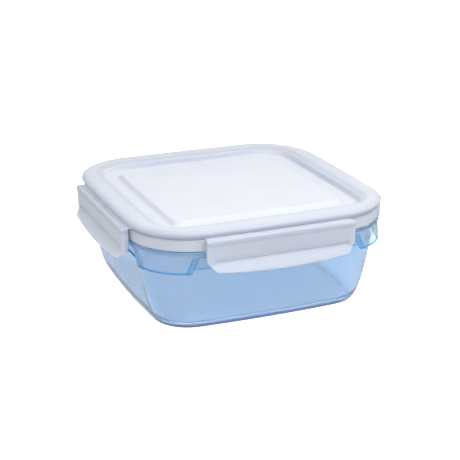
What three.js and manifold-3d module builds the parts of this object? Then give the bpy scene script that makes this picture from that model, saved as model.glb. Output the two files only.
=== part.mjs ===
// A square snap-lid food container: a clear bowl-shaped tub, a lid with a seal under its rim,
// and four clips that hang from the lid on living hinges and snap under the tub's flange.
// Millimetres, +Z up. The origin is the middle of the tub's underside and the front faces -Y.
import * as THREE from 'three';
import { mergeVertices } from 'three/addons/utils/BufferGeometryUtils.js';
import Module from 'manifold-3d';

const wasm = await Module();
wasm.setup();

// ---- Driving dimensions ----
// "Half" sizes run from the middle of the container to the middle of a side.

// Plan shape: every level is a square with round corners and slightly bowed sides.
const CORNER_CENTRE = 41.0;
const SIDE_STEPS = 2;
const CORNER_STEPS = 7;
const RIM_BOW = 0.5;

// Tub
const BASE_HALF = 61.7;
const BASE_FLAT_HALF = 60.9;
const BASE_CORNER = 19.0;
const BASE_BOW = 1.4;
const SHOULDER_HALF = 72.2;
const SHOULDER_Z = 39.2;
const BOWL_FULLNESS = 0.57;
const WALL = 2.2;
const COLLAR_HALF = 71.4;
const MOUTH_HALF = 69.6;
const TUB_TOP = 57.8;

// Flange and its down-turned skirt
const FLANGE_HALF = 74.4;
const FLANGE_TOP = 49.8;
const FLANGE_BOTTOM = 48.2;
const FLANGE_CORNER = 30.0;
const SKIRT_WALL = 1.6;
const SKIRT_BOTTOM = 37.4;
const SKIRT_FLARE = 0.9;
const BEAD_BOTTOM = 46.4;
const BEAD_REACH = 46.4;
const SKIRT_REACH = 50.4;

// Lid
const LID_HALF = 76.7;
const LID_TOP = 62.1;
const PANEL_Z = 59.8;
const PANEL_HALF = 50.2;
const MOAT_Z = 57.1;
const RECESS_HALF = 62.3;
const LID_WALL = 1.6;
const GROOVE_HALF = 74.15;
const GROOVE_Z = 57.0;
const LID_SKIRT_HALF = 75.4;
const LID_SKIRT_BOTTOM = 50.3;
const LID_SKIRT_INNER = 72.7;
const RIM_UNDERSIDE = 60.3;
const GATE_DIMPLE = 3.0;

// Seal
const SEAL_INNER = 68.2;
const SEAL_OUTER = 72.3;
const SEAL_BOTTOM = 58.1;
const SEAL_TOP = 60.0;

// Clips
const CLIP_HALF_LENGTH = 44.0;
const CLIP_FACE = 80.0;
const CLIP_TOP = 57.4;
const CLIP_CREASE_Z = 44.4;
const CLIP_CREASE_DEPTH = 1.8;
const TAB_REACH = 83.3;
const TAB_BOTTOM = 37.6;
const TAB_END_BOTTOM = 39.6;
const TAB_CORNER_Z = 45.0;
const TAB_CORNER_RUN = 5.5;
const CATCH_TIP = 74.75;
const CATCH_TOP = 46.2;
const CATCH_HALF_LENGTH = 38.0;
const CLIP_END_WALL = 4.0;
const CLIP_BACK = 76.1;

// Living hinge film between the lid's groove and each clip
const FILM_INNER = 74.75;
const FILM_OUTER = 75.5;
const FILM_BOTTOM = 57.0;
const FILM_TOP = 57.3;

// ---- Plan outlines ----

// One level of a moulding: its half size, corner radius, side bow and height.
function level(half, z, corner = half - CORNER_CENTRE, bow = RIM_BOW) {
  return { half, z, corner, bow };
}

// A level whose corner radius keeps its own centre, for the lid's recess and panel.
function recessLevel(half, z, corner) {
  return level(half, z, corner, RIM_BOW);
}

// The outline of one level, anticlockwise from the end of the +X side that is nearest to -Y.
function outline({ half, corner, bow }) {
  const reach = half - corner - bow;
  const quarter = [];
  for (let i = 0; i < SIDE_STEPS; i += 1) {
    const along = -1 + (2 * i) / SIDE_STEPS;
    quarter.push(new THREE.Vector2(half - bow * along * along, reach * along));
  }
  for (let i = 0; i < CORNER_STEPS; i += 1) {
    const angle = (Math.PI / 2) * (i / CORNER_STEPS);
    quarter.push(new THREE.Vector2(reach + corner * Math.cos(angle), reach + corner * Math.sin(angle)));
  }
  const middle = new THREE.Vector2();
  return [0, 1, 2, 3].flatMap((turn) =>
    quarter.map((point) => point.clone().rotateAround(middle, (turn * Math.PI) / 2)));
}

// A lathe whose turns follow the rounded squares of its levels in place of circles.
function squareLathe(levels) {
  const outlines = levels.map((ring) => outline(ring));
  const turns = outlines[0].length;
  const profile = levels.map((ring) => new THREE.Vector2(ring.half, ring.z));
  const geometry = new THREE.LatheGeometry(profile, turns);
  const position = geometry.attributes.position;
  for (let turn = 0; turn <= turns; turn += 1) {
    for (let ring = 0; ring < levels.length; ring += 1) {
      const point = outlines[ring][turn % turns];
      position.setXYZ(turn * levels.length + ring, point.x, point.y, levels[ring].z);
    }
  }
  return geometry;
}

// ---- Solids ----

function toSolid(geometry) {
  geometry.deleteAttribute('normal');
  geometry.deleteAttribute('uv');
  const merged = mergeVertices(geometry);
  const corners = merged.index.array;
  const triangles = [];
  for (let i = 0; i < corners.length; i += 3) {
    const [a, b, c] = corners.slice(i, i + 3);
    if (a !== b && b !== c && c !== a) {
      triangles.push(a, b, c);
    }
  }
  return new wasm.Manifold(new wasm.Mesh({
    numProp: 3,
    vertProperties: merged.attributes.position.array,
    triVerts: new Uint32Array(triangles),
  }));
}

function toMesh(name, solid, material) {
  const { vertProperties, triVerts } = solid.getMesh();
  const geometry = new THREE.BufferGeometry();
  geometry.setAttribute('position', new THREE.BufferAttribute(vertProperties, 3));
  geometry.setIndex(new THREE.BufferAttribute(triVerts, 1));
  geometry.computeVertexNormals();
  const mesh = new THREE.Mesh(geometry, material);
  mesh.name = name;
  return mesh;
}

// Turns a shape drawn as (outward, up) into a bar along a side of the container at +X.
function sideBar(shape, halfLength) {
  const bar = new THREE.ExtrudeGeometry(shape, { depth: 2 * halfLength, bevelEnabled: false, curveSegments: 4 });
  bar.translate(0, 0, -halfLength);
  bar.rotateX(Math.PI / 2);
  return toSolid(bar);
}

// Turns a shape drawn as (along the side, up) into a block from one outward distance to another.
function sideBlock(shape, inner, outer, curveSegments) {
  const block = new THREE.ExtrudeGeometry(shape, { depth: outer - inner, bevelEnabled: false, curveSegments });
  block.applyMatrix4(new THREE.Matrix4().makeBasis(
    new THREE.Vector3(0, 1, 0), new THREE.Vector3(0, 0, 1), new THREE.Vector3(1, 0, 0)));
  block.translate(inner, 0, 0);
  return toSolid(block);
}

function polygon(points) {
  return new THREE.Shape(points.map(([x, y]) => new THREE.Vector2(x, y)));
}

// ---- Tub ----

// The bowl's outside is steep at the shoulder and curls in towards the base.
function bowlHalf(z) {
  return BASE_HALF + (SHOULDER_HALF - BASE_HALF) * (z / SHOULDER_Z) ** BOWL_FULLNESS;
}

function bowlLevel(z, inset) {
  const rise = z / SHOULDER_Z;
  const corner = THREE.MathUtils.lerp(BASE_CORNER, SHOULDER_HALF - CORNER_CENTRE, rise);
  const bow = THREE.MathUtils.lerp(BASE_BOW, RIM_BOW, rise);
  return level(bowlHalf(z) - inset, z, corner - inset, bow);
}

function makeTub() {
  const axis = (z) => level(0, z, 0, 0);
  const heights = [1, 3, 6.5, 12.5, 22.5, 32];
  const floor = WALL;
  const edge = 0.5;
  const outside = [
    axis(0),
    level(BASE_FLAT_HALF, 0, BASE_CORNER - 0.8, BASE_BOW),
    level(BASE_HALF, 0.25, BASE_CORNER, BASE_BOW),
    ...heights.map((z) => bowlLevel(z, 0)),
    level(SHOULDER_HALF, SHOULDER_Z),
    level(COLLAR_HALF, SHOULDER_Z + 0.7),
    level(COLLAR_HALF, TUB_TOP - edge),
    level(COLLAR_HALF - edge, TUB_TOP),
  ];
  const inside = [
    level(MOUTH_HALF + edge, TUB_TOP),
    level(MOUTH_HALF, TUB_TOP - edge),
    level(MOUTH_HALF - 0.3, SHOULDER_Z),
    ...heights.slice(2).reverse().map((z) => bowlLevel(z, WALL)),
    bowlLevel(3.4, WALL + 0.8),
    level(BASE_FLAT_HALF - 2.9, floor, BASE_CORNER - 3.5, BASE_BOW),
    axis(floor),
  ];
  const bowl = toSolid(squareLathe([...outside, ...inside]));
  return bowl.add(makeFlange());
}

// A level of the flange, whose corners are tighter than the collar's.
function flangeLevel(half, z) {
  return level(half, z, FLANGE_CORNER + half - FLANGE_HALF);
}

// The flange and its skirt run all round. Under each clip the skirt is cut back to a shallow
// locking bead, and the cut's slanted ends leave a deep tongue that flares out at every corner.
function makeFlange() {
  const overlap = 0.6;
  const edge = 0.4;
  const inner = FLANGE_HALF - SKIRT_WALL;
  const flareTop = BEAD_BOTTOM - 1.0;
  const section = [
    level(COLLAR_HALF - overlap, FLANGE_BOTTOM),
    flangeLevel(inner, FLANGE_BOTTOM),
    flangeLevel(inner, flareTop),
    flangeLevel(inner + SKIRT_FLARE, SKIRT_BOTTOM),
    flangeLevel(FLANGE_HALF + SKIRT_FLARE - edge, SKIRT_BOTTOM),
    flangeLevel(FLANGE_HALF + SKIRT_FLARE, SKIRT_BOTTOM + edge),
    flangeLevel(FLANGE_HALF, flareTop),
    flangeLevel(FLANGE_HALF, FLANGE_TOP - edge),
    flangeLevel(FLANGE_HALF - edge, FLANGE_TOP),
    level(COLLAR_HALF - overlap, FLANGE_TOP),
    level(COLLAR_HALF - overlap, FLANGE_BOTTOM),
  ];
  const below = SKIRT_BOTTOM - 5;
  const slope = (SKIRT_REACH - BEAD_REACH) / (BEAD_BOTTOM - SKIRT_BOTTOM);
  const reachBelow = SKIRT_REACH + slope * (SKIRT_BOTTOM - below);
  const window = polygon([
    [-reachBelow, below], [reachBelow, below], [BEAD_REACH, BEAD_BOTTOM], [-BEAD_REACH, BEAD_BOTTOM],
  ]);
  let flange = toSolid(squareLathe(section));
  const cut = sideBlock(window, COLLAR_HALF, FLANGE_HALF + 5, 1);
  for (const turn of [0, 90, 180, 270]) {
    flange = flange.subtract(cut.rotate([0, 0, turn]));
  }
  return flange;
}

// ---- Lid ----

function makeLid() {
  const gateDepth = 0.3;
  const top = [
    level(0, PANEL_Z - gateDepth, 0, 0),
    level(GATE_DIMPLE - 0.8, PANEL_Z - gateDepth, GATE_DIMPLE - 0.8, 0),
    level(GATE_DIMPLE, PANEL_Z, GATE_DIMPLE, 0),
    recessLevel(PANEL_HALF, PANEL_Z, 4.5),
    recessLevel(PANEL_HALF + 1.0, PANEL_Z - 0.3, 5.0),
    recessLevel(PANEL_HALF + 2.7, MOAT_Z + 0.4, 6.5),
    recessLevel(PANEL_HALF + 3.4, MOAT_Z, 7.0),
    recessLevel(RECESS_HALF - 1.7, MOAT_Z, 12.8),
    recessLevel(RECESS_HALF - 0.8, MOAT_Z + 0.4, 13.5),
    recessLevel(RECESS_HALF, LID_TOP - 2.0, 14.3),
    recessLevel(RECESS_HALF + 0.7, LID_TOP - 1.4, 15.0),
    recessLevel(RECESS_HALF + 3.2, LID_TOP - 0.6, 18.5),
    recessLevel(RECESS_HALF + 6.2, LID_TOP, 24.0),
    level(LID_HALF - 4.1, LID_TOP),
    level(LID_HALF - 1.3, LID_TOP - 0.5),
    level(LID_HALF - 0.3, LID_TOP - 1.2),
    level(LID_HALF, LID_TOP - 1.9),
  ];
  const skirt = [
    level(GROOVE_HALF + 0.3, GROOVE_Z + 0.45),
    level(GROOVE_HALF, GROOVE_Z),
    level(LID_SKIRT_HALF - 0.1, GROOVE_Z - 0.6),
    level(LID_SKIRT_HALF, LID_SKIRT_BOTTOM + 0.4),
    level(LID_SKIRT_HALF - 0.3, LID_SKIRT_BOTTOM),
    level(LID_SKIRT_INNER + 1.2, LID_SKIRT_BOTTOM),
    level(LID_SKIRT_INNER, LID_SKIRT_BOTTOM + 4.0),
    level(LID_SKIRT_INNER, RIM_UNDERSIDE),
  ];
  const sealRib = [
    level(SEAL_INNER - 0.4, RIM_UNDERSIDE),
    level(SEAL_INNER - 0.4, SEAL_BOTTOM - 0.2),
    level(SEAL_INNER - 1.6, SEAL_BOTTOM - 0.2),
    level(SEAL_INNER - 1.6, RIM_UNDERSIDE - 0.4),
  ];
  const underside = [
    recessLevel(RECESS_HALF + 2.3, LID_TOP - 2.0 - 0.4, 16.5),
    recessLevel(RECESS_HALF + 1.0, MOAT_Z, 15.3),
    recessLevel(RECESS_HALF, MOAT_Z - LID_WALL, 14.3),
    recessLevel(PANEL_HALF + 2.1, MOAT_Z - LID_WALL, 6.0),
    recessLevel(PANEL_HALF + 0.8, MOAT_Z - LID_WALL + 0.6, 5.0),
    recessLevel(PANEL_HALF - 0.8, PANEL_Z - LID_WALL, 4.0),
    level(0, PANEL_Z - LID_WALL, 0, 0),
  ];
  return toSolid(squareLathe([...top, ...skirt, ...sealRib, ...underside].reverse()));
}

function makeSeal() {
  const edge = 0.4;
  return toSolid(squareLathe([
    level(SEAL_INNER + edge, SEAL_BOTTOM),
    level(SEAL_OUTER - edge, SEAL_BOTTOM),
    level(SEAL_OUTER, SEAL_BOTTOM + edge),
    level(SEAL_OUTER, SEAL_TOP - edge),
    level(SEAL_OUTER - edge, SEAL_TOP),
    level(SEAL_INNER + edge, SEAL_TOP),
    level(SEAL_INNER, SEAL_TOP - edge),
    level(SEAL_INNER, SEAL_BOTTOM + edge),
    level(SEAL_INNER + edge, SEAL_BOTTOM),
  ]));
}

// ---- Clips ----

// The face leans in to a crease and then flares out again as the finger tab.
function clipPlate() {
  const shape = new THREE.Shape();
  const crease = CLIP_FACE - CLIP_CREASE_DEPTH;
  shape.moveTo(CLIP_BACK - 0.1, CLIP_TOP - 0.7);
  shape.lineTo(CLIP_BACK + 1.1, CLIP_TOP - 0.35);
  shape.lineTo(CLIP_FACE - 1.6, CLIP_TOP);
  shape.quadraticCurveTo(CLIP_FACE, CLIP_TOP, CLIP_FACE, CLIP_TOP - 1.7);
  shape.lineTo(CLIP_FACE, CLIP_TOP - 3.2);
  shape.lineTo(CLIP_FACE - 0.25, CLIP_TOP - 3.5);
  shape.lineTo(CLIP_FACE - 0.3, CLIP_CREASE_Z + 3.8);
  shape.quadraticCurveTo(CLIP_FACE - 0.5, CLIP_CREASE_Z + 1.4, crease, CLIP_CREASE_Z);
  shape.quadraticCurveTo(TAB_REACH - 2.0, CLIP_CREASE_Z - 2.6, TAB_REACH, TAB_BOTTOM + 0.8);
  shape.lineTo(TAB_REACH, TAB_BOTTOM);
  shape.lineTo(TAB_REACH - 1.0, TAB_BOTTOM);
  shape.quadraticCurveTo(TAB_REACH - 3.0, CLIP_CREASE_Z - 3.6, crease - 1.6, CLIP_CREASE_Z - 0.8);
  shape.lineTo(crease - 1.6, CLIP_CREASE_Z + 1.4);
  shape.lineTo(CLIP_FACE - 2.1, CLIP_CREASE_Z + 4.4);
  shape.lineTo(CLIP_FACE - 2.1, CLIP_TOP - 2.4);
  shape.lineTo(CLIP_BACK - 0.1, CLIP_TOP - 1.4);
  return sideBar(shape, CLIP_HALF_LENGTH);
}

function clipCatch() {
  const root = CLIP_FACE - 2.2;
  const shape = polygon([
    [root, CATCH_TOP - 2.4], [root, CATCH_TOP + 0.2], [CATCH_TIP + 1.6, CATCH_TOP - 0.2],
    [CATCH_TIP, CATCH_TOP - 0.3], [CATCH_TIP, CATCH_TOP - 0.8],
  ]);
  return sideBar(shape, CATCH_HALF_LENGTH);
}

// A wall closes the clip's hollow back at each end.
function clipEndWall(side) {
  const wall = new THREE.BoxGeometry(
    CLIP_FACE - 1.6 - CLIP_BACK, CLIP_END_WALL, CLIP_TOP - 1.2 - CLIP_CREASE_Z + 1.2);
  wall.translate(
    (CLIP_FACE - 1.6 + CLIP_BACK) / 2,
    side * (CLIP_HALF_LENGTH - CLIP_END_WALL / 2),
    (CLIP_TOP - 1.2 + CLIP_CREASE_Z - 1.2) / 2);
  return toSolid(wall);
}

// Seen from outside, the tab's lower edge bows down and its two corners are round.
function clipOutline() {
  const half = CLIP_HALF_LENGTH;
  const bend = half - TAB_CORNER_RUN;
  const shape = new THREE.Shape();
  shape.moveTo(-half, CLIP_TOP + 1);
  shape.lineTo(-half, TAB_CORNER_Z);
  shape.quadraticCurveTo(-half + 0.6, TAB_END_BOTTOM + 0.6, -bend, TAB_END_BOTTOM);
  shape.quadraticCurveTo(0, 2 * TAB_BOTTOM - TAB_END_BOTTOM, bend, TAB_END_BOTTOM);
  shape.quadraticCurveTo(half - 0.6, TAB_END_BOTTOM + 0.6, half, TAB_CORNER_Z);
  shape.lineTo(half, CLIP_TOP + 1);
  return sideBlock(shape, CATCH_TIP - 1, TAB_REACH + 1, 6);
}

function makeClip() {
  return clipPlate().add(clipCatch()).add(clipEndWall(-1)).add(clipEndWall(1)).intersect(clipOutline());
}

function makeFilm() {
  const shape = polygon([
    [FILM_INNER, FILM_BOTTOM], [FILM_OUTER, FILM_BOTTOM], [FILM_OUTER, FILM_TOP], [FILM_INNER, FILM_TOP],
  ]);
  return sideBar(shape, CLIP_HALF_LENGTH - 1);
}

// ---- Materials and assembly ----

function plastic(color, roughness, opacity = 1) {
  return new THREE.MeshStandardMaterial({
    color, roughness, metalness: 0, transparent: opacity < 1, opacity,
  });
}

const TUB_BLUE = 0x9cc4ea;
const LID_WHITE = 0xe4e9f3;
const CLIP_WHITE = 0xd2d9e6;
const SEAL_WHITE = 0xf0f2f5;

const container = new THREE.Group();
container.add(toMesh('tub', makeTub(), plastic(TUB_BLUE, 0.08, 0.6)));
container.add(toMesh('lid', makeLid(), plastic(LID_WHITE, 0.35)));
container.add(toMesh('seal', makeSeal(), plastic(SEAL_WHITE, 0.6)));

const clip = makeClip();
const film = makeFilm();
const SIDES = { right: 0, rear: 90, left: 180, front: 270 };
for (const [side, turn] of Object.entries(SIDES)) {
  container.add(toMesh(`clip_${side}`, clip.rotate([0, 0, turn]), plastic(CLIP_WHITE, 0.35)));
  container.add(toMesh(`living_hinge_${side}`, film.rotate([0, 0, turn]), plastic(LID_WHITE, 0.4)));
}

export default container;
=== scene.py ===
"""A square snap-lid food container in a plain pale studio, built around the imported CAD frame."""

import math

import bpy
from mathutils import Matrix, Vector


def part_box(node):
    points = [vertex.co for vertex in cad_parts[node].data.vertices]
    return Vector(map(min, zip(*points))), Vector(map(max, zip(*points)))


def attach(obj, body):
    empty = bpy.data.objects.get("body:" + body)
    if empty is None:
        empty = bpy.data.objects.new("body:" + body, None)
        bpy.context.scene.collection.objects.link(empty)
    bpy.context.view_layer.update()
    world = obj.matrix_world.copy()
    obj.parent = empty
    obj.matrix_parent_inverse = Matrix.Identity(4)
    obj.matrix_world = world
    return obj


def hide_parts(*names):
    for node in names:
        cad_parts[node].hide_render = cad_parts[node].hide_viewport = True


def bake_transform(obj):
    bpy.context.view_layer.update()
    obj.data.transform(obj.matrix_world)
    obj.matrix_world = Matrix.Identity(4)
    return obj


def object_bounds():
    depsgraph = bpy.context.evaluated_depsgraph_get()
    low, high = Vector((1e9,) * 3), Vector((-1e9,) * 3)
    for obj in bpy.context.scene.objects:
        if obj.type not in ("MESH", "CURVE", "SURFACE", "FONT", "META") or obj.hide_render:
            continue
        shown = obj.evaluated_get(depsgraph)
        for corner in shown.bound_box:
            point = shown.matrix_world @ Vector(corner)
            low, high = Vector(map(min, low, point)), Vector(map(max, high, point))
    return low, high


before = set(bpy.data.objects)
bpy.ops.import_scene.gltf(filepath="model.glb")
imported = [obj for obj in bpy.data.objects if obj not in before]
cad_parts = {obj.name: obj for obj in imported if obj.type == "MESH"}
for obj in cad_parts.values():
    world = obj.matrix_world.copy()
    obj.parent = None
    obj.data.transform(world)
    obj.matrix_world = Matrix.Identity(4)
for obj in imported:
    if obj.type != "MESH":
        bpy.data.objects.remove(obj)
cad_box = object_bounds()

MM = 0.001
SIDES = {"right": 0, "rear": 90, "left": 180, "front": 270}

# ---------------------------------------------------------------- sizes, in millimetres


def top_of(node):
    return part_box(node)[1].z / MM


def half_of(node):
    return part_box(node)[1].x / MM


CORNER_CENTRE = 41.0
RIM_BOW = 0.5

# Tub
TUB_TOP = top_of("tub")
FLANGE_HALF = half_of("tub")
BASE_HALF = 61.7
BASE_FLAT_HALF = 60.9
BASE_CORNER = 19.0
BASE_BOW = 1.4
SHOULDER_HALF = 72.2
SHOULDER_Z = 39.2
BOWL_FULLNESS = 0.57
WALL = 2.2
COLLAR_HALF = 71.4
MOUTH_HALF = 69.6
FLANGE_CORNER = 30.0
FLANGE_TOP = 49.8
FLANGE_BOTTOM = 48.2
SKIRT_WALL = 1.6
SKIRT_BOTTOM = 37.4
SKIRT_FLARE = 0.9
BEAD_BOTTOM = 46.4
FLARE_TOP = BEAD_BOTTOM - 1.0
BEAD_REACH = 46.4
SKIRT_REACH = 50.4
CUT_SLOPE = (SKIRT_REACH - BEAD_REACH) / (BEAD_BOTTOM - SKIRT_BOTTOM)
SKIRT_ROOT = FLANGE_BOTTOM - 0.7
RIB_WIDTH = 3.2
RIB_DEPTH = 1.1
RIB_EDGE = 0.6
FLARE_CURVE = 1.3
BASE_DIMPLE = 0.25

# Lid
LID_TOP = top_of("lid")
LID_HALF = half_of("lid")
PANEL_Z = 59.8
PANEL_HALF = 50.2
MOAT_Z = 57.1
RECESS_HALF = 62.3
LID_WALL = 1.6
GROOVE_HALF = 74.15
GROOVE_Z = 57.0
LID_SKIRT_HALF = 75.4
LID_SKIRT_BOTTOM = 50.3
LID_SKIRT_INNER = 72.7
RIM_UNDERSIDE = 60.3
GATE_DIMPLE = 3.0
GATE_DEPTH = 0.3
RECESS_CORE = 14.0

# Seal
SEAL_INNER = 68.2
SEAL_OUTER = half_of("seal")
SEAL_BOTTOM = 58.1
SEAL_TOP = top_of("seal")

# Clips
CLIP_HALF_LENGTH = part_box("clip_right")[1].y / MM
CLIP_FACE = 80.0
CLIP_TOP = top_of("clip_right")
CLIP_CREASE_Z = 44.4
CLIP_CREASE_DEPTH = 1.8
TAB_REACH = half_of("clip_right")
TAB_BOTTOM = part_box("clip_right")[0].z / MM
TAB_END_BOTTOM = 39.7
TAB_CORNER_Z = 45.0
TAB_CORNER_RUN = 5.5
CATCH_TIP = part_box("clip_right")[0].x / MM
CATCH_TOP = 46.2
CATCH_HALF_LENGTH = 38.0
CLIP_END_WALL = 4.0
CLIP_BACK = 76.1
CLIP_ROUND_END = 0.42
CREASE_RUN = 4.4

# Hinge webs
WEB_STEPS_ACROSS = 14
WEB_STEPS_ALONG = 24
WEB_HALF_THICKNESS = 0.22
WEB_ROOT_FLARE = 0.16

# ---------------------------------------------------------------- plan outlines

SIDE_STEPS = 18
# Columns round each corner, in degrees. They are close together where the skirt is cut away.
CORNER_ANGLES = (
    [0, 1.6]
    + [3.2 + 0.6 * k for k in range(20)]
    + [16.6, 19.5, 23, 26.5, 30.5, 34.5, 38.5, 42, 45, 48, 51.5, 55.5, 59.5, 63.5, 67, 70.5, 73.4]
    + [75.4 + 0.6 * k for k in range(20)]
    + [88.4]
)
CORNER_ANGLES_PLAIN = [90 * k / 20 for k in range(20)]


def ring(half, z, corner=None, bow=RIM_BOW, soft=0.0):
    """One level of a moulding: half size, height, corner radius, side bow, and how far it is rounded."""
    return (half, z, half - CORNER_CENTRE if corner is None else corner, bow, soft)


def outline(half, corner, bow, angles):
    """A square with bowed sides that run smoothly into round corners, anticlockwise from the +X side."""
    reach = max(half - corner - bow, 0.0)
    lean = math.atan2(2 * bow, reach) if reach > 0 else 0.0
    radius = corner / (math.cos(lean) - math.sin(lean))
    centre = half - bow - radius * math.cos(lean)
    quarter = []
    for k in range(SIDE_STEPS):
        along = -1 + 2 * k / SIDE_STEPS
        quarter.append((half - bow * along * along, reach * along))
    for degrees in angles:
        angle = lean + (math.pi / 2 - 2 * lean) * degrees / 90
        quarter.append((centre + radius * math.cos(angle), centre + radius * math.sin(angle)))
    points = []
    for turn in range(4):
        c, s = (1, 0, -1, 0)[turn], (0, 1, 0, -1)[turn]
        points += [(x * c - y * s, x * s + y * c) for x, y in quarter]
    return points


def soften(levels, closed=False, steps=5):
    """Rounds the edge at each level that asks for it, and holds the flats on both sides of it."""
    out, count = [], len(levels)
    for i, entry in enumerate(levels):
        here, soft = Vector(entry[:4]), entry[4]
        if soft == 0 or (not closed and i in (0, count - 1)):
            out.append(here)
            continue
        before = Vector(levels[i - 1][:4]) - here
        after = Vector(levels[(i + 1) % count][:4]) - here
        span_in, span_out = before.xy.length, after.xy.length
        a, b = min(soft, 0.46 * span_in), min(soft, 0.46 * span_out)
        start, end = here + before * (a / span_in), here + after * (b / span_out)
        if span_in > 3.2 * a:
            out.append(here + before * (1.5 * a / span_in))
        for k in range(steps + 1):
            t = k / steps
            out.append(start * (1 - t) ** 2 + here * (2 * t * (1 - t)) + end * t ** 2)
        if span_out > 3.2 * b:
            out.append(here + after * (1.5 * b / span_out))
    return out


def mesh_object(name, points, faces):
    mesh = bpy.data.meshes.new(name)
    mesh.from_pydata([(x * MM, y * MM, z * MM) for x, y, z in points], [], faces)
    mesh.update()
    for polygon in mesh.polygons:
        polygon.use_smooth = True
    thing = bpy.data.objects.new(name, mesh)
    bpy.context.scene.collection.objects.link(thing)
    return thing


def lathe(name, levels, closed=False, angles=CORNER_ANGLES_PLAIN, lift=None):
    """Skins the levels into one closed body. A level of no size at an end is the middle of a cap."""
    points, rows = [], []
    for index, (half, z, corner, bow) in enumerate(levels):
        if half < 1e-6:
            rows.append([len(points)])
            points.append((0, 0, z))
            continue
        rows.append([])
        for x, y in outline(half, corner, bow, angles):
            rows[-1].append(len(points))
            points.append((x, y, z))
        if lift:
            wider = outline(half + 1, corner + 1, bow, angles)
            for k, (wide_x, wide_y) in enumerate(wider):
                x, y, _ = points[rows[-1][k]]
                rise, push = lift(index, x, y, z)
                points[rows[-1][k]] = (x + (wide_x - x) * push, y + (wide_y - y) * push, z + rise)
    faces = []
    pairs = list(zip(rows, rows[1:])) + ([(rows[-1], rows[0])] if closed else [])
    for low, high in pairs:
        turns = max(len(low), len(high))
        for k in range(turns):
            n = (k + 1) % turns
            if len(low) == 1:
                faces.append((low[0], high[n], high[k]))
            elif len(high) == 1:
                faces.append((low[k], low[n], high[0]))
            else:
                faces.append((low[k], low[n], high[n], high[k]))
    return mesh_object(name, points, faces)


# ---------------------------------------------------------------- tub


def bowl_ring(z, inset, soft=0.0):
    rise = z / SHOULDER_Z
    half = BASE_HALF + (SHOULDER_HALF - BASE_HALF) * rise ** BOWL_FULLNESS
    corner = BASE_CORNER + (SHOULDER_HALF - CORNER_CENTRE - BASE_CORNER) * rise
    bow = BASE_BOW + (RIM_BOW - BASE_BOW) * rise
    return ring(half - inset, z, corner - inset, bow, soft)


def soft_ramp(t, width=0.2):
    """0 before 0, 1 after 1, and a straight ramp between them whose two bends are rounded."""
    if t <= -width:
        return 0.0
    if t < width:
        return (t + width) ** 2 / (4 * width)
    if t <= 1 - width:
        return t
    if t < 1 + width:
        return 1 - (1 + width - t) ** 2 / (4 * width)
    return 1.0


def flange_ring(half, z, soft=0.0):
    """A level of the flange, whose corners are tighter than the collar's."""
    return ring(half, z, FLANGE_CORNER + half - FLANGE_HALF, soft=soft)


def skirt_share(x, y):
    """How much of the skirt's depth is left: all of it at the corners, and only the bead behind each clip."""
    along = min(abs(x), abs(y))
    return soft_ramp((along - BEAD_REACH) / (SKIRT_REACH - BEAD_REACH))


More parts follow.
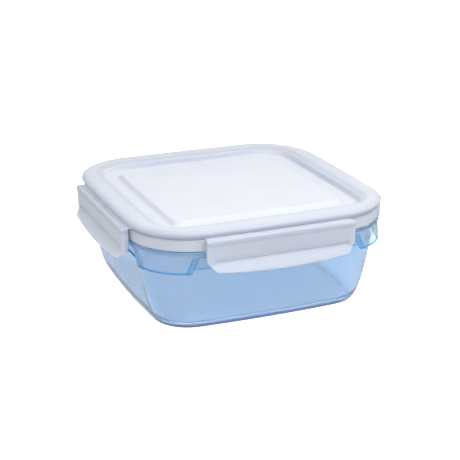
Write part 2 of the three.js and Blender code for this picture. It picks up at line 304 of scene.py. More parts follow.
def make_tub():
    climb = [0.7, 1.3, 2, 3, 4.3, 6, 8, 10.5, 13.5, 17, 21, 25.5, 30.5, 35.5]
    inner_skirt = FLANGE_HALF - SKIRT_WALL
    flare_steps = [46.2, 45.4, 44.6, 43, 41, 39]
    levels = [
        ring(0, BASE_DIMPLE, 0, 0),
        ring(2.6, BASE_DIMPLE, 2.6, 0, 0.3),
        ring(3.4, 0, 3.4, 0, 0.4),
        ring(BASE_FLAT_HALF - 3, 0, BASE_CORNER - 3.6, BASE_BOW),
        ring(BASE_FLAT_HALF, 0, BASE_CORNER - 0.8, BASE_BOW, 0.5),
        ring(BASE_HALF, 0.25, BASE_CORNER, BASE_BOW, 0.35),
    ]
    levels += [bowl_ring(z, 0) for z in climb]
    levels += [
        ring(SHOULDER_HALF, SHOULDER_Z, soft=0.45),
        ring(COLLAR_HALF, SHOULDER_Z + 0.7, soft=0.6),
        ring(COLLAR_HALF, FLANGE_BOTTOM, soft=0.6),
        flange_ring(inner_skirt, FLANGE_BOTTOM, soft=0.4),
        *(flange_ring(inner_skirt, z) for z in flare_steps),
        flange_ring(inner_skirt, SKIRT_BOTTOM, soft=0.45),
        flange_ring(FLANGE_HALF, SKIRT_BOTTOM, soft=0.6),
        *(flange_ring(FLANGE_HALF, z) for z in reversed(flare_steps)),
        flange_ring(FLANGE_HALF, FLANGE_TOP, soft=0.5),
        ring(COLLAR_HALF, FLANGE_TOP, soft=0.5),
        ring(COLLAR_HALF, TUB_TOP, soft=0.7),
        ring(MOUTH_HALF, TUB_TOP, soft=0.7),
        ring(MOUTH_HALF - 0.3, SHOULDER_Z, soft=2.5),
    ]
    levels += [bowl_ring(z, WALL) for z in reversed(climb[6:])]
    levels += [
        bowl_ring(6.0, WALL + 0.15),
        bowl_ring(4.6, WALL + 0.55),
        bowl_ring(3.5, WALL + 1.35),
        bowl_ring(2.75, WALL + 2.6),
        bowl_ring(2.35, WALL + 4.0),
        ring(BASE_FLAT_HALF - 5.4, WALL, BASE_CORNER - 5.8, BASE_BOW),
        ring(BASE_FLAT_HALF - 9, WALL, BASE_CORNER - 8, BASE_BOW),
        ring(0, WALL, 0, 0),
    ]
    fine = soften(levels)
    touching = 0.01
    below_bead = [i for i, level in enumerate(fine)
                  if level[0] >= inner_skirt - touching and level[1] < SKIRT_ROOT]

    def lift(index, x, y, z):
        """Squeezes the skirt up into the bead behind each clip, and flares what hangs below the bead."""
        if index not in below_bead:
            return 0.0, 0.0
        full, short = SKIRT_ROOT - SKIRT_BOTTOM, SKIRT_ROOT - BEAD_BOTTOM
        drop = (SKIRT_ROOT - z) / full
        depth = short + (full - short) * skirt_share(x, y)
        new_z = SKIRT_ROOT - drop * depth
        flare = max(FLARE_TOP - new_z, 0.0) / (FLARE_TOP - SKIRT_BOTTOM)
        past_cut = min(abs(x), abs(y)) - BEAD_REACH - CUT_SLOPE * (BEAD_BOTTOM - new_z)
        near_side = soft_ramp(past_cut / RIB_EDGE + 0.2)
        far_side = soft_ramp((past_cut - RIB_WIDTH + RIB_EDGE) / RIB_EDGE)
        on_inside = fine[index][0] < inner_skirt + touching
        inwards = RIB_DEPTH * near_side * (1 - far_side) if on_inside else 0.0
        return new_z - z, SKIRT_FLARE * flare ** FLARE_CURVE - inwards

    return lathe("tub_moulding", fine, angles=CORNER_ANGLES, lift=lift)


# ---------------------------------------------------------------- lid and seal


def make_lid():
    top = [
        ring(0, PANEL_Z - GATE_DEPTH, 0, 0),
        ring(GATE_DIMPLE - 0.8, PANEL_Z - GATE_DEPTH, GATE_DIMPLE - 0.8, 0, 0.4),
        ring(GATE_DIMPLE, PANEL_Z, GATE_DIMPLE, 0, 0.5),
        ring(PANEL_HALF - 6, PANEL_Z, 4.0),
        ring(PANEL_HALF, PANEL_Z, 4.5, soft=0.5),
        ring(PANEL_HALF + 1.0, PANEL_Z - 0.3, 5.0, soft=0.5),
        ring(PANEL_HALF + 2.7, MOAT_Z + 0.4, 6.5, soft=0.4),
        ring(PANEL_HALF + 3.4, MOAT_Z, 7.0, soft=0.5),
        ring(RECESS_HALF - 1.7, MOAT_Z, 12.8, soft=0.6),
        ring(RECESS_HALF - 0.8, MOAT_Z + 0.4, 13.5, soft=0.4),
        ring(RECESS_HALF, LID_TOP - 2.0, 14.3, soft=0.5),
        ring(RECESS_HALF + 0.7, LID_TOP - 1.4, 15.0, soft=0.5),
        ring(RECESS_HALF + 3.2, LID_TOP - 0.6, 18.5, soft=0.9),
        ring(RECESS_HALF + 6.2, LID_TOP, 24.0, soft=1.4),
        ring(LID_HALF - 4.1, LID_TOP, soft=1.4),
        ring(LID_HALF - 1.3, LID_TOP - 0.5, soft=0.6),
        ring(LID_HALF - 0.3, LID_TOP - 1.2, soft=0.45),
        ring(LID_HALF, LID_TOP - 1.9, soft=0.45),
        ring(LID_HALF, LID_TOP - 2.6, soft=0.3),
        ring(LID_HALF - 0.95, GROOVE_Z + 1.3, soft=0.4),
    ]
    skirt = [
        ring(GROOVE_HALF + 0.3, GROOVE_Z + 0.45, soft=0.35),
        ring(GROOVE_HALF, GROOVE_Z, soft=0.25),
        ring(LID_SKIRT_HALF - 0.1, GROOVE_Z - 0.6, soft=0.5),
        ring(LID_SKIRT_HALF, LID_SKIRT_BOTTOM + 0.4, soft=0.3),
        ring(LID_SKIRT_HALF - 0.3, LID_SKIRT_BOTTOM, soft=0.2),
        ring(LID_SKIRT_INNER + 1.2, LID_SKIRT_BOTTOM, soft=0.4),
        ring(LID_SKIRT_INNER, LID_SKIRT_BOTTOM + 4.0, soft=0.8),
        ring(LID_SKIRT_INNER, RIM_UNDERSIDE, soft=0.25),
    ]
    seal_rib = [
        ring(SEAL_INNER - 0.4, RIM_UNDERSIDE, soft=0.25),
        ring(SEAL_INNER - 0.4, SEAL_BOTTOM - 0.2, soft=0.3),
        ring(SEAL_INNER - 1.6, SEAL_BOTTOM - 0.2, soft=0.3),
        ring(SEAL_INNER - 1.6, RIM_UNDERSIDE - 0.4, soft=0.3),
    ]
    underside = [
        ring(RECESS_HALF + 2.3, LID_TOP - 2.4, 16.5, soft=0.6),
        ring(RECESS_HALF + 1.0, MOAT_Z, 15.3, soft=0.5),
        ring(RECESS_HALF, MOAT_Z - LID_WALL, 14.3, soft=0.6),
        ring(PANEL_HALF + 2.1, MOAT_Z - LID_WALL, 6.0, soft=0.4),
        ring(PANEL_HALF + 0.8, MOAT_Z - LID_WALL + 0.6, 5.0, soft=0.4),
        ring(PANEL_HALF - 0.8, PANEL_Z - LID_WALL, 4.0, soft=0.6),
        ring(PANEL_HALF - 7, PANEL_Z - LID_WALL, 4.0),
        ring(0, PANEL_Z - LID_WALL, 0, 0),
    ]
    fine = soften(top + skirt + seal_rib + underside)
    return lathe("lid_moulding", list(reversed(fine)))


def make_seal():
    middle = (SEAL_BOTTOM + SEAL_TOP) / 2
    levels = [
        ring(SEAL_INNER, SEAL_BOTTOM, soft=0.45),
        ring(SEAL_OUTER - 2.4, SEAL_BOTTOM + 0.12, soft=0.3),
        ring(SEAL_OUTER - 1.9, SEAL_BOTTOM + 0.4, soft=0.25),
        ring(SEAL_OUTER - 1.4, SEAL_BOTTOM + 0.12, soft=0.3),
        ring(SEAL_OUTER, SEAL_BOTTOM, soft=0.45),
        ring(SEAL_OUTER, middle, soft=0.2),
        ring(SEAL_OUTER, SEAL_TOP, soft=0.45),
        ring(SEAL_INNER, SEAL_TOP, soft=0.45),
    ]
    return lathe("seal_ring", soften(levels, closed=True, steps=4), closed=True)


# ---------------------------------------------------------------- clips


def bezier(a, b, c, count):
    """Points on a quadratic curve from a towards b to c, without its first point."""
    a, b, c = Vector(a), Vector(b), Vector(c)
    return [tuple(a * (1 - t) ** 2 + b * (2 * t * (1 - t)) + c * t ** 2)
            for t in (k / count for k in range(1, count + 1))]


def tab_bottom(along):
    """The tab's lower edge bows down in the middle, and turns up in a round corner at each end."""
    bend = CLIP_HALF_LENGTH - TAB_CORNER_RUN
    s = abs(along)
    if s <= bend:
        return TAB_BOTTOM + (TAB_END_BOTTOM - TAB_BOTTOM) * (s / bend) ** 2
    slope = 2 * (TAB_END_BOTTOM - TAB_BOTTOM) / bend
    t = min((s - bend) / TAB_CORNER_RUN, 1.0)
    rise = TAB_CORNER_Z - TAB_END_BOTTOM - slope * TAB_CORNER_RUN
    return TAB_END_BOTTOM + slope * (s - bend) + rise * t ** 1.5


def step_up(s, start, width):
    t = min(max((s - start) / width, 0.0), 1.0)
    return t * t * (3 - 2 * t)


def clip_section(along):
    """The clip's cross-section at one place along it, as (outward, up) points going round once."""
    s = abs(along)
    ended = step_up(s, CLIP_HALF_LENGTH - CLIP_END_WALL - 0.45, 0.45)
    strip = step_up(s, CLIP_HALF_LENGTH - CLIP_END_WALL - 0.2, 0.8)
    hooked = 1 - step_up(s, CATCH_HALF_LENGTH - 0.5, 0.5)
    bottom = tab_bottom(along)
    crease = CLIP_FACE - CLIP_CREASE_DEPTH

    def mix(a, b, t):
        return a + (b - a) * t

    def outer(z):
        """The outside of the face and the tab at one height."""
        if z >= CLIP_CREASE_Z:
            t = (CLIP_TOP - 3.5 - z) / (CLIP_TOP - 3.5 - CLIP_CREASE_Z)
            bend = min(max((CLIP_CREASE_Z + CREASE_RUN - z) / CREASE_RUN, 0.0), 1.0)
            curved = CLIP_FACE - 0.25 - (CLIP_CREASE_DEPTH - 0.25) * bend ** 1.9
            return mix(curved, CLIP_FACE - 0.32 - 0.1 * t, strip)
        t = (CLIP_CREASE_Z - z) / (CLIP_CREASE_Z - TAB_BOTTOM)
        curved = crease + (TAB_REACH - crease) * (1.45 * t - 0.45 * t ** 2)
        return mix(curved, max(curved, CLIP_FACE - 0.42), strip)

    face_in, root = CLIP_FACE - 2.1, crease - 1.6

    def inner(z):
        t = (CLIP_CREASE_Z - z) / (CLIP_CREASE_Z - TAB_BOTTOM)
        thick = mix(1.75, 1.15, min(max(t, 0), 1))
        return min(outer(z) - thick, root + 20 * step_up(t, 0.1, 0.5))

    back = mix(face_in, CLIP_BACK, ended)
    top = CLIP_TOP
    points = [
        (CLIP_BACK - 0.05, top - 0.55), (CLIP_BACK + 0.45, top - 0.22), (CLIP_FACE - 2.1, top - 0.02),
    ]
    points += bezier((CLIP_FACE - 1.9, top), (CLIP_FACE, top), (CLIP_FACE, top - 1.9), 7)
    points += [(CLIP_FACE, top - 2.5), (CLIP_FACE, top - 3.1), (CLIP_FACE - 0.06, top - 3.28),
               (CLIP_FACE - 0.22, top - 3.45), (outer(top - 3.7), top - 3.7)]
    face_end = max(CLIP_CREASE_Z + 0.45, bottom + 1.0)
    for k in range(1, 13):
        z = mix(top - 3.7, face_end, k / 12)
        points.append((outer(z), z))
    soft_crease = mix(crease + 0.07, CLIP_FACE - 0.42, strip)
    points.append((soft_crease, max(CLIP_CREASE_Z, bottom + 0.75)))
    upper_tab = max(CLIP_CREASE_Z - 0.45, bottom + 0.5)
    low_tab = bottom + 0.35
    for k in range(0, 10):
        z = mix(upper_tab, low_tab, k / 9)
        points.append((outer(z), z))
    tip_out, tip_in = outer(bottom + 0.1), inner(bottom + 0.1)
    points += [(tip_out - 0.08, bottom + 0.14), (mix(tip_out, tip_in, 0.3), bottom),
               (mix(tip_out, tip_in, 0.7), bottom), (tip_in + 0.08, bottom + 0.14)]
    inner_low = bottom + 0.35
    inner_start = max(CATCH_TOP - 2.7, inner_low + 0.3)
    for k in range(0, 8):
        z = mix(inner_low, inner_start, k / 7)
        points.append((inner(z), z))
    hook = [
        (root, CATCH_TOP - 2.4), (CATCH_TIP + 1.2, CATCH_TOP - 1.4), (CATCH_TIP + 0.35, CATCH_TOP - 1.0),
        (CATCH_TIP, CATCH_TOP - 0.7), (CATCH_TIP, CATCH_TOP - 0.45), (CATCH_TIP + 0.2, CATCH_TOP - 0.28),
        (CATCH_TIP + 1.6, CATCH_TOP - 0.2), (root - 0.2, CATCH_TOP + 0.08), (root, CATCH_TOP + 0.4),
    ]
    flat = []
    flat_low, flat_high = max(CATCH_TOP - 2.4, inner_start + 0.1), max(CATCH_TOP + 0.4, inner_start + 0.6)
    for k in range(len(hook)):
        flat.append((mix(root, CLIP_BACK, ended), mix(flat_low, flat_high, k / (len(hook) - 1))))
    # Where the catch has ended, its points lie on the wall behind it.
    for (hx, hz), (fx, fz) in zip(hook, flat):
        points.append((mix(fx, hx, hooked), mix(fz, hz, hooked)))
    for k in range(0, 6):
        z = mix(CATCH_TOP + 0.9, top - 2.6, k / 5)
        lean = mix(root, face_in, min(max((z - CATCH_TOP - 0.8) / 2.6, 0), 1))
        points.append((mix(lean, back, ended), z))
    points += [(mix(face_in - 0.25, CLIP_BACK, ended), top - 2.1),
               (mix(face_in - 0.8, CLIP_BACK - 0.03, ended), top - 1.8),
               (CLIP_BACK + 0.15 - 0.1 * ended, top - 1.42),
               (CLIP_BACK - 0.06, top - 1.3), (CLIP_BACK - 0.1, top - 1.1)]
    return points


def inset(points, depth):
    """The section drawn in by depth, for the rounded ends of the clip."""
    if depth <= 0:
        return points
    count, out = len(points), []
    for i in range(count):
        before, here, after = (Vector(points[j % count]) for j in (i - 1, i, i + 1))
        a, b = (here - before).normalized(), (after - here).normalized()
        normal = Vector((a.y + b.y, -a.x - b.x))
        if normal.length < 1e-6:
            normal = Vector((a.y, -a.x))
        normal.normalize()
        out.append(tuple(here + normal * depth))
    return out


def clip_stations():
    """Places along the clip where its section is taken: closest at the catch's ends, end walls and tips."""
    half, wall = CLIP_HALF_LENGTH, CLIP_HALF_LENGTH - CLIP_END_WALL
    bend = half - TAB_CORNER_RUN
    marks = [k * 2.5 for k in range(15)]
    marks += [CATCH_HALF_LENGTH - 0.5 + 0.1 * k for k in range(6)]
    marks += [bend + 0.25 + 0.3 * k for k in range(3)]
    marks += [wall - 0.5 + 0.1 * k for k in range(12)]
    marks += [wall + 0.9 + 0.25 * k for k in range(8)]
    marks += [half - 1.2, half - 0.9, half - 0.6, half - CLIP_ROUND_END]
    marks += [half - CLIP_ROUND_END * (1 - math.sin(math.pi / 2 * k / 4)) for k in range(1, 5)]
    marks = sorted(set(round(m, 3) for m in marks))
    return [-m for m in reversed(marks) if m > 0] + marks


def capped_strip(name, stations, section_at):
    """Skins the sections at these places along Y into one closed body with flat ends."""
    points, rows = [], []
    for along in stations:
        section = section_at(along)
        rows.append([len(points) + k for k in range(len(section))])
        points += [(x, along, z) for x, z in section]
    faces = []
    for low, high in zip(rows, rows[1:]):
        for k in range(len(low)):
            n = (k + 1) % len(low)
            faces.append((low[k], high[k], high[n], low[n]))
    faces.append(tuple(rows[0]))
    faces.append(tuple(reversed(rows[-1])))
    return mesh_object(name, points, faces)


def make_clip(name):
    def rounded_section(along):
        over_end = abs(along) - (CLIP_HALF_LENGTH - CLIP_ROUND_END)
        depth = 0.0
        if over_end > 0:
            depth = CLIP_ROUND_END - math.sqrt(max(CLIP_ROUND_END ** 2 - over_end ** 2, 0))
        return inset(clip_section(along), depth)

    return capped_strip(name, clip_stations(), rounded_section)


def make_web(name):
    """The living hinge, a thin web from the lid's groove to the clip's upper edge, and where it bends."""
    half = CLIP_HALF_LENGTH - 1
    root, end = GROOVE_HALF - 0.3, CLIP_BACK + 0.5
    line = []
    for k in range(WEB_STEPS_ACROSS + 1):
        t = k / WEB_STEPS_ACROSS
        x = root + (end - root) * t
        z = GROOVE_Z + 0.16 - 0.10 * math.sin(math.pi * t) - 0.05 * t
        line.append((x, z, WEB_HALF_THICKNESS + WEB_ROOT_FLARE * abs(2 * t - 1) ** 2))
    section = [(x, z + w) for x, z, w in line] + [(x, z - w) for x, z, w in reversed(line)]
    stations = [-half + 2 * half * k / WEB_STEPS_ALONG for k in range(WEB_STEPS_ALONG + 1)]
    web = capped_strip(name, stations, lambda along: section)
    return web, Vector((root + 0.5, 0, GROOVE_Z)), Vector((end - 0.3, 0, GROOVE_Z))


# ---------------------------------------------------------------- materials


MIX_FACTOR, MIX_FIRST, MIX_SECOND, MIX_RESULT = 0, 6, 7, 2


def new_material(name):
    material = bpy.data.materials.new(name)
    material.use_nodes = True
    tree = material.node_tree
    return material, tree, tree.nodes["Principled BSDF"]


def add_noise(tree, scale, detail, roughness):
    coordinates = tree.nodes.new("ShaderNodeTexCoord")
    noise = tree.nodes.new("ShaderNodeTexNoise")
    noise.inputs["Scale"].default_value = scale
    noise.inputs["Detail"].default_value = detail
    noise.inputs["Roughness"].default_value = roughness
    tree.links.new(coordinates.outputs["Object"], noise.inputs["Vector"])
    return noise.outputs["Fac"]


def spread(tree, source, low, high, start=0.3, end=0.7, interpolation="LINEAR"):
    """Maps a value from start..end onto low..high, held at both ends."""
    node = tree.nodes.new("ShaderNodeMapRange")
    node.interpolation_type = interpolation
    node.inputs["From Min"].default_value = start
    node.inputs["From Max"].default_value = end
    node.inputs["To Min"].default_value = low
    node.inputs["To Max"].default_value = high
    tree.links.new(source, node.inputs["Value"])
    return node.outputs["Result"]


def add_bump(tree, shader, height, strength, distance):
    bump = tree.nodes.new("ShaderNodeBump")
    bump.inputs["Strength"].default_value = strength
    bump.inputs["Distance"].default_value = distance
    tree.links.new(height, bump.inputs["Height"])
    tree.links.new(bump.outputs["Normal"], shader.inputs["Normal"])


def mix_colours(tree, factor, first, second):
    """Blends from the first colour to the second. Each of the two is a socket or a plain colour."""
    mix = tree.nodes.new("ShaderNodeMix")
    mix.data_type = "RGBA"
    tree.links.new(factor, mix.inputs[MIX_FACTOR])
    for place, colour in ((MIX_FIRST, first), (MIX_SECOND, second)):
        if isinstance(colour, tuple):
            mix.inputs[place].default_value = (*colour, 1)
        else:
            tree.links.new(colour, mix.inputs[place])
    return mix.outputs[MIX_RESULT]


def calc(tree, operation, first, second=None):
    """One sum on numbers. Each of the two is a socket or a plain number."""
    node = tree.nodes.new("ShaderNodeMath")
    node.operation = operation
    for socket, value in zip(node.inputs, (first, second)):
        if isinstance(value, (int, float)):
            socket.default_value = value
        elif value is not None:
            tree.links.new(value, socket)
    return node.outputs["Value"]


def line_at(tree, value, centre, width):
    """1 on a line where the value is at its centre (mm), fading to 0 at this distance from it."""
    distance = calc(tree, "ABSOLUTE", calc(tree, "SUBTRACT", value, centre * MM))
    return spread(tree, distance, 1, 0, 0, width * MM)


def vector_step(tree, operation, first, second=None, output="Vector"):
    node = tree.nodes.new("ShaderNodeVectorMath")
    node.operation = operation
    tree.links.new(first, node.inputs[0])
    if second:
        node.inputs[1].default_value = second
    return node.outputs[output]


def beyond_square(tree, half):
    """How far a point lies outside an upright square column of this half size, round its corners."""
    place = tree.nodes.new("ShaderNodeTexCoord").outputs["Object"]
    folded = vector_step(tree, "ABSOLUTE", place)
    beyond = vector_step(tree, "SUBTRACT", folded, (half * MM, half * MM, 1.0))
    return vector_step(tree, "LENGTH", vector_step(tree, "MAXIMUM", beyond, (0, 0, 0)), output="Value")


def painted_edge_shade_mask(tree):
    """Where the tub's rims, ribs and shoulder get painted shade: a deeper blue standing in for how they look
    darkest because one looks along the wall there.
    """
    place = tree.nodes.new("ShaderNodeTexCoord").outputs["Object"]
    parts = tree.nodes.new("ShaderNodeSeparateXYZ")
    tree.links.new(vector_step(tree, "ABSOLUTE", place), parts.inputs["Vector"])
    up = parts.outputs["Z"]
    along = calc(tree, "MINIMUM", parts.outputs["X"], parts.outputs["Y"])
    past_cut = calc(tree, "ADD", calc(tree, "MULTIPLY", up, CUT_SLOPE), along)
    past_cut = calc(tree, "SUBTRACT", past_cut, (BEAD_REACH + CUT_SLOPE * BEAD_BOTTOM) * MM)
    in_tongue = spread(tree, past_cut, 0, 1, 0, 0.5 * MM)
    beside_tongue = calc(tree, "SUBTRACT", 1.0, in_tongue)
    below_bead = spread(tree, up, 1, 0, BEAD_BOTTOM * MM, (BEAD_BOTTOM + 0.6) * MM)
    outside = spread(tree, beyond_square(tree, FLANGE_HALF - RIM_BOW - FLANGE_CORNER), 0, 1,
                     28.0 * MM, 28.5 * MM)

    near_line, far_line = line_at(tree, past_cut, 0.3, 0.8), line_at(tree, past_cut, RIB_WIDTH, 0.8)
    between_ribs = calc(tree, "MINIMUM", line_at(tree, past_cut, RIB_WIDTH / 2, RIB_WIDTH / 2 + 0.6), 0.45)
    ribs = calc(tree, "MAXIMUM", calc(tree, "MAXIMUM", near_line, far_line), between_ribs)
    skirt = calc(tree, "MULTIPLY", ribs, below_bead)
    rims = (
        calc(tree, "MULTIPLY", line_at(tree, up, SKIRT_BOTTOM + 0.4, 1.3), in_tongue),
        calc(tree, "MULTIPLY", line_at(tree, up, BEAD_BOTTOM + 0.3, 0.7), beside_tongue),
        calc(tree, "MULTIPLY", line_at(tree, up, FLANGE_TOP - 1.2, 1.6), 0.35),
    )
    for rim in rims:
        skirt = calc(tree, "MAXIMUM", skirt, rim)
    inside = calc(tree, "SUBTRACT", 1.0, outside)
    shoulder = calc(tree, "MULTIPLY", line_at(tree, up, SHOULDER_Z, 0.8), inside)
    return calc(tree, "MAXIMUM", calc(tree, "MULTIPLY", skirt, outside), shoulder)


def height_of(tree):
    """A point's height above the ground when the piece is at rest."""
    parts = tree.nodes.new("ShaderNodeSeparateXYZ")
    tree.links.new(tree.nodes.new("ShaderNodeTexCoord").outputs["Object"], parts.inputs["Vector"])
    return parts.outputs["Z"]


# The last tub colour is painted shade: a deeper blue laid on the rims, ribs and shoulder, where clear plastic
# looks darkest.
TUB_TINT, TUB_TINT_PALE, TUB_PAINTED_EDGE_SHADE = (0.76, 0.885, 0.985), (0.81, 0.91, 0.99), (0.12, 0.54, 0.88)


def clear_blue():
    """Clear plastic, milky and tinted through, with faint flow waves, scuffs, a matt foot and painted shade
    along its rims, ribs and shoulder.
    """
    material, tree, shader = new_material("tub_clear_blue")
    cloud = add_noise(tree, 26, 3.0, 0.55)
    body = mix_colours(tree, spread(tree, cloud, 0, 1), TUB_TINT, TUB_TINT_PALE)
    # Painted shade: the rims, ribs and shoulder are mixed towards the deeper blue.
    tinted = mix_colours(tree, painted_edge_shade_mask(tree), body, TUB_PAINTED_EDGE_SHADE)
    tree.links.new(tinted, shader.inputs["Base Color"])
    shader.inputs["Transmission Weight"].default_value = 0.78
    shader.inputs["IOR"].default_value = 1.48
    shader.inputs["Subsurface Weight"].default_value = 0.6
    shader.inputs["Subsurface Radius"].default_value = (0.7, 0.9, 1.3)
    shader.inputs["Subsurface Scale"].default_value = 0.006
    scuffs = add_noise(tree, 900, 2.0, 0.6)
    foot = spread(tree, height_of(tree), 0.55, 0, 0.5 * MM, 1.5 * MM)
    polish = spread(tree, scuffs, 0.015, 0.06, 0.45, 0.8)
    tree.links.new(calc(tree, "MAXIMUM", foot, polish), shader.inputs["Roughness"])
    add_bump(tree, shader, add_noise(tree, 38, 1.0, 0.4), 0.04, 0.0015)
    absorb = tree.nodes.new("ShaderNodeVolumeAbsorption")
    absorb.inputs["Color"].default_value = (0.10, 0.50, 0.88, 1)
    absorb.inputs["Density"].default_value = 120
    tree.links.new(absorb.outputs["Volume"], tree.nodes["Material Output"].inputs["Volume"])
    return material


# Painted shade: a darker colour for the lid's rim wall, the clips' top edges and the recess wall, and how far
# the recess wall is mixed towards it.
PAINTED_SHADE_TINT = (0.42, 0.46, 0.54)
RECESS_SHADE = 0.5
CLOUD_LIFT = 1.03


def frosted(name, panel, rim, clear, glow, band, painted_glow=0.0):
    """Milky moulded plastic: faint clouding, a fine matt skin and soft light through it.

    The thin middle of the lid is painted paler than its thick rim, as painted light and shade. The band is a
    range of heights, in millimetres, painted darker as painted shade where the moulding is thickest: the
    lid's rim wall, or a clip's top edge. The recess wall round the middle gets painted shade too, and the
    emission is a painted glow.
    """
    material, tree, shader = new_material(name)
    from_core = beyond_square(tree, RECESS_HALF - RECESS_CORE)
    outwards = spread(tree, from_core, 0, 1, (RECESS_CORE - 0.8) * MM, (RECESS_CORE + 1.6) * MM)
    cloud = spread(tree, add_noise(tree, 55, 3.0, 0.55), 0, 1)
    # Painted light and shade: the middle gets the paler colour and the outside the darker one.
    lit_middle = mix_colours(tree, cloud, panel, tuple(v * CLOUD_LIFT for v in panel))
    shaded_outside = mix_colours(tree, cloud, rim, tuple(v * CLOUD_LIFT for v in rim))
    body = mix_colours(tree, outwards, lit_middle, shaded_outside)
    low, high, depth = band
    up = height_of(tree)
    above = spread(tree, up, 0, depth, low * MM, (low + 0.4) * MM)
    below = spread(tree, up, 1, 0, (high - 0.5) * MM, high * MM)
    in_shade_band = calc(tree, "MULTIPLY", calc(tree, "MULTIPLY", above, below), outwards)
    # Painted shade on the recess wall round the lid's middle, which stands up from the moat.
    standing = spread(tree, up, 0, RECESS_SHADE, (MOAT_Z + 0.3) * MM, (MOAT_Z + 0.8) * MM)
    recess_wall_shade = calc(tree, "MULTIPLY", line_at(tree, from_core, RECESS_CORE, 1.3), standing)
    # All the painted shade together: the band and the recess wall.
    thick = calc(tree, "MAXIMUM", in_shade_band, recess_wall_shade)
    tree.links.new(mix_colours(tree, thick, body, PAINTED_SHADE_TINT), shader.inputs["Base Color"])
    skin = add_noise(tree, 2600, 2.0, 0.6)
    tree.links.new(spread(tree, skin, 0.36, 0.48), shader.inputs["Roughness"])
    add_bump(tree, shader, skin, 0.10, 0.0002)
    shader.inputs["IOR"].default_value = 1.49
    shader.inputs["Specular IOR Level"].default_value = 0.2
    shader.inputs["Transmission Weight"].default_value = clear
    shader.inputs["Subsurface Weight"].default_value = glow
    shader.inputs["Subsurface Radius"].default_value = (1.0, 1.05, 1.2)
    shader.inputs["Subsurface Scale"].default_value = 0.0025
    # Painted glow: any emission here stands in for light coming through the thin web into the groove.
    shader.inputs["Emission Color"].default_value = (0.86, 0.90, 1.0, 1)
    shader.inputs["Emission Strength"].default_value = painted_glow
    return material


def silicone():
    """Soft white rubber with a fine dusty skin."""
    material, tree, shader = new_material("seal_silicone")
    dust = add_noise(tree, 700, 4.0, 0.6)
    tree.links.new(
        mix_colours(tree, spread(tree, dust, 0, 1), (0.86, 0.88, 0.90), (0.93, 0.94, 0.95)),
        shader.inputs["Base Color"])
    tree.links.new(spread(tree, dust, 0.45, 0.6), shader.inputs["Roughness"])
    add_bump(tree, shader, dust, 0.08, 0.0002)
    shader.inputs["Subsurface Weight"].default_value = 0.3
    shader.inputs["Subsurface Scale"].default_value = 0.002
    return material


# Bands of height painted darker, as painted shade where a moulding is thickest: bottom, top, and how much
# darker it is there.
LID_SHADE_BAND = (GROOVE_Z + 0.2, LID_TOP - 0.1, 0.32)
CLIP_SHADE_BAND = (CLIP_TOP - 3.5, CLIP_TOP + 1.0, 0.36)
# The panel colour is painted light and the rim colour painted shade: the lid is one plastic, painted paler on
# its thin middle and darker on its rim.
PANEL_LIT_TINT, RIM_SHADED_TINT = (0.82, 0.84, 0.92), (0.74, 0.78, 0.87)
# The clips are the lid's plastic; their darker tint is painted shade for their upright faces, which get less
# light than the lid's top.
CLIP_SHADED_TINT, WEB_TINT = (0.66, 0.705, 0.815), (0.74, 0.76, 0.82)

TUB_BLUE = clear_blue()
LID_FROST = frosted("lid_frost", PANEL_LIT_TINT, RIM_SHADED_TINT, 0.12, 0.75, LID_SHADE_BAND)
CLIP_FROST = frosted("clip_frost", CLIP_SHADED_TINT, CLIP_SHADED_TINT, 0.12, 0.75, CLIP_SHADE_BAND)
# The web's last value is a painted glow that lightens the groove between the lid and the clips.
WEB_FROST = frosted("web_frost", WEB_TINT, WEB_TINT, 0.06, 0.5, LID_SHADE_BAND, 0.2)
SEAL_WHITE = silicone()


def finish_piece(thing, material, slot, body, *nodes):
    thing.data.materials.append(material)
    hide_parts(*nodes)
    if body:
        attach(thing, body)
    return thing


# ---------------------------------------------------------------- the container

finish_piece(make_tub(), TUB_BLUE, "tub_blue", "tub", "tub")
finish_piece(make_lid(), LID_FROST, "lid_frost", "lid", "lid")
finish_piece(make_seal(), SEAL_WHITE, "seal_silicone", "lid", "seal")

for side, turn in SIDES.items():
    spin = Matrix.Rotation(math.radians(turn), 4, "Z")
    clip = make_clip(f"clip_{side}_moulding")
    clip.data.transform(spin)
    finish_piece(clip, CLIP_FROST, "clip_frost", f"clip_{side}", f"clip_{side}")
    web, start, end = make_web(f"hinge_web_{side}")
    web.data.transform(spin)
    finish_piece(web, WEB_FROST, "lid_frost", None, f"living_hinge_{side}")
    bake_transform(web)

# ---------------------------------------------------------------- studio


FLOOR_HALF = 30.0
FLOOR_GAP = 0.0001
FLOOR_GREY = (0.08, 0.08, 0.08, 1)
FLOOR_GLOW = (1.52, 0.45, 0.5)
SKY_GLOW = (1.52, 0.8, 1.0)
SKY_COLOUR = (0.97, 0.98, 1.0, 1)
SKY_AT_HORIZON, SKY_ABOVE = 0.97, 0.35
SOFTBOX_PLACE, SOFTBOX_SIZE, SOFTBOX_POWER = (0.03, -0.21, 0.55), 0.6, 3.4


def shown_and_cast(tree, shown, cast, mirrored):
    """A glow's strength: seen directly or through the tub, lighting a surface, and seen in gloss."""
    path = tree.nodes.new("ShaderNodeLightPath")
    in_gloss = calc(tree, "SUBTRACT", path.outputs["Is Glossy Ray"], path.outputs["Is Transmission Ray"])
    lighting = spread(tree, path.outputs["Is Diffuse Ray"], shown, cast, 0, 1)
    return calc(tree, "ADD", lighting, calc(tree, "MULTIPLY", in_gloss, mirrored - shown))


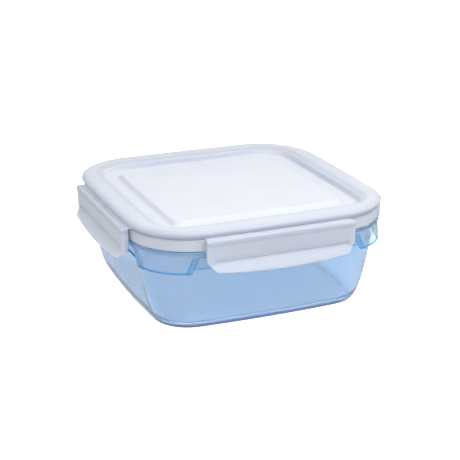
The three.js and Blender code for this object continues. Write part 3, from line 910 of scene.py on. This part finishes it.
def make_floor():
    mesh = bpy.data.meshes.new("studio_floor")
    corners = [(-1, -1), (1, -1), (1, 1), (-1, 1)]
    mesh.from_pydata([(x * FLOOR_HALF, y * FLOOR_HALF, 0) for x, y in corners], [], [(0, 1, 2, 3)])
    floor = bpy.data.objects.new("studio_floor", mesh)
    bpy.context.scene.collection.objects.link(floor)
    floor.location.z = cad_box[0].z - FLOOR_GAP
    material, tree, shader = new_material("studio_floor")
    shader.inputs["Base Color"].default_value = FLOOR_GREY
    shader.inputs["Roughness"].default_value = 0.9
    shader.inputs["Specular IOR Level"].default_value = 0.0
    shader.inputs["Emission Color"].default_value = (1, 1, 1, 1)
    tree.links.new(shown_and_cast(tree, *FLOOR_GLOW), shader.inputs["Emission Strength"])
    mesh.materials.append(material)


def add_softbox(name, place, aim, width, height, power):
    data = bpy.data.lights.new(name, "AREA")
    data.shape, data.size, data.size_y, data.energy = "RECTANGLE", width, height, power
    box = bpy.data.objects.new(name, data)
    box.location = place
    box.rotation_mode = "QUATERNION"
    box.rotation_quaternion = (Vector(aim) - Vector(place)).to_track_quat("-Z", "Y")
    bpy.context.scene.collection.objects.link(box)


make_floor()
middle = (cad_box[0] + cad_box[1]) / 2
add_softbox("softbox_top", SOFTBOX_PLACE, middle, SOFTBOX_SIZE, SOFTBOX_SIZE, SOFTBOX_POWER)

world = bpy.data.worlds.new("studio")
world.use_nodes = True
sky = world.node_tree
direction = sky.nodes.new("ShaderNodeTexCoord").outputs["Generated"]
height = sky.nodes.new("ShaderNodeSeparateXYZ")
sky.links.new(direction, height.inputs["Vector"])
fade = spread(sky, height.outputs["Z"], SKY_AT_HORIZON, SKY_ABOVE, 0.10, 0.45, "SMOOTHSTEP")
strength = calc(sky, "MULTIPLY", fade, shown_and_cast(sky, *SKY_GLOW))
sky.links.new(strength, sky.nodes["Background"].inputs["Strength"])
sky.nodes["Background"].inputs["Color"].default_value = SKY_COLOUR
bpy.context.scene.world = world
bpy.context.scene.view_settings.view_transform = "Standard"
# Clear plastic needs many bounces, or its edges turn black.
bpy.context.scene.cycles.max_bounces = 32
bpy.context.scene.cycles.transmission_bounces = 32

# ---------------------------------------------------------------- camera

CAMERA_PLACE = Vector((-0.2643, -0.6367, 0.2773))
CAMERA_AZIMUTH, CAMERA_ELEVATION = math.radians(-22.69), math.radians(19.60)
CAMERA_SENSOR, CAMERA_LENS = 36.0, 95.1
back = Vector((
    math.sin(CAMERA_AZIMUTH) * math.cos(CAMERA_ELEVATION),
    -math.cos(CAMERA_AZIMUTH) * math.cos(CAMERA_ELEVATION),
    math.sin(CAMERA_ELEVATION),
))
camera_data = bpy.data.cameras.new("camera")
camera_data.sensor_width, camera_data.lens = CAMERA_SENSOR, CAMERA_LENS
camera_data.clip_start, camera_data.clip_end = 0.01, 100
camera = bpy.data.objects.new("camera", camera_data)
camera.location = CAMERA_PLACE
camera.rotation_mode = "QUATERNION"
camera.rotation_quaternion = (-back).to_track_quat("-Z", "Y")
bpy.context.scene.collection.objects.link(camera)
bpy.context.scene.camera = camera
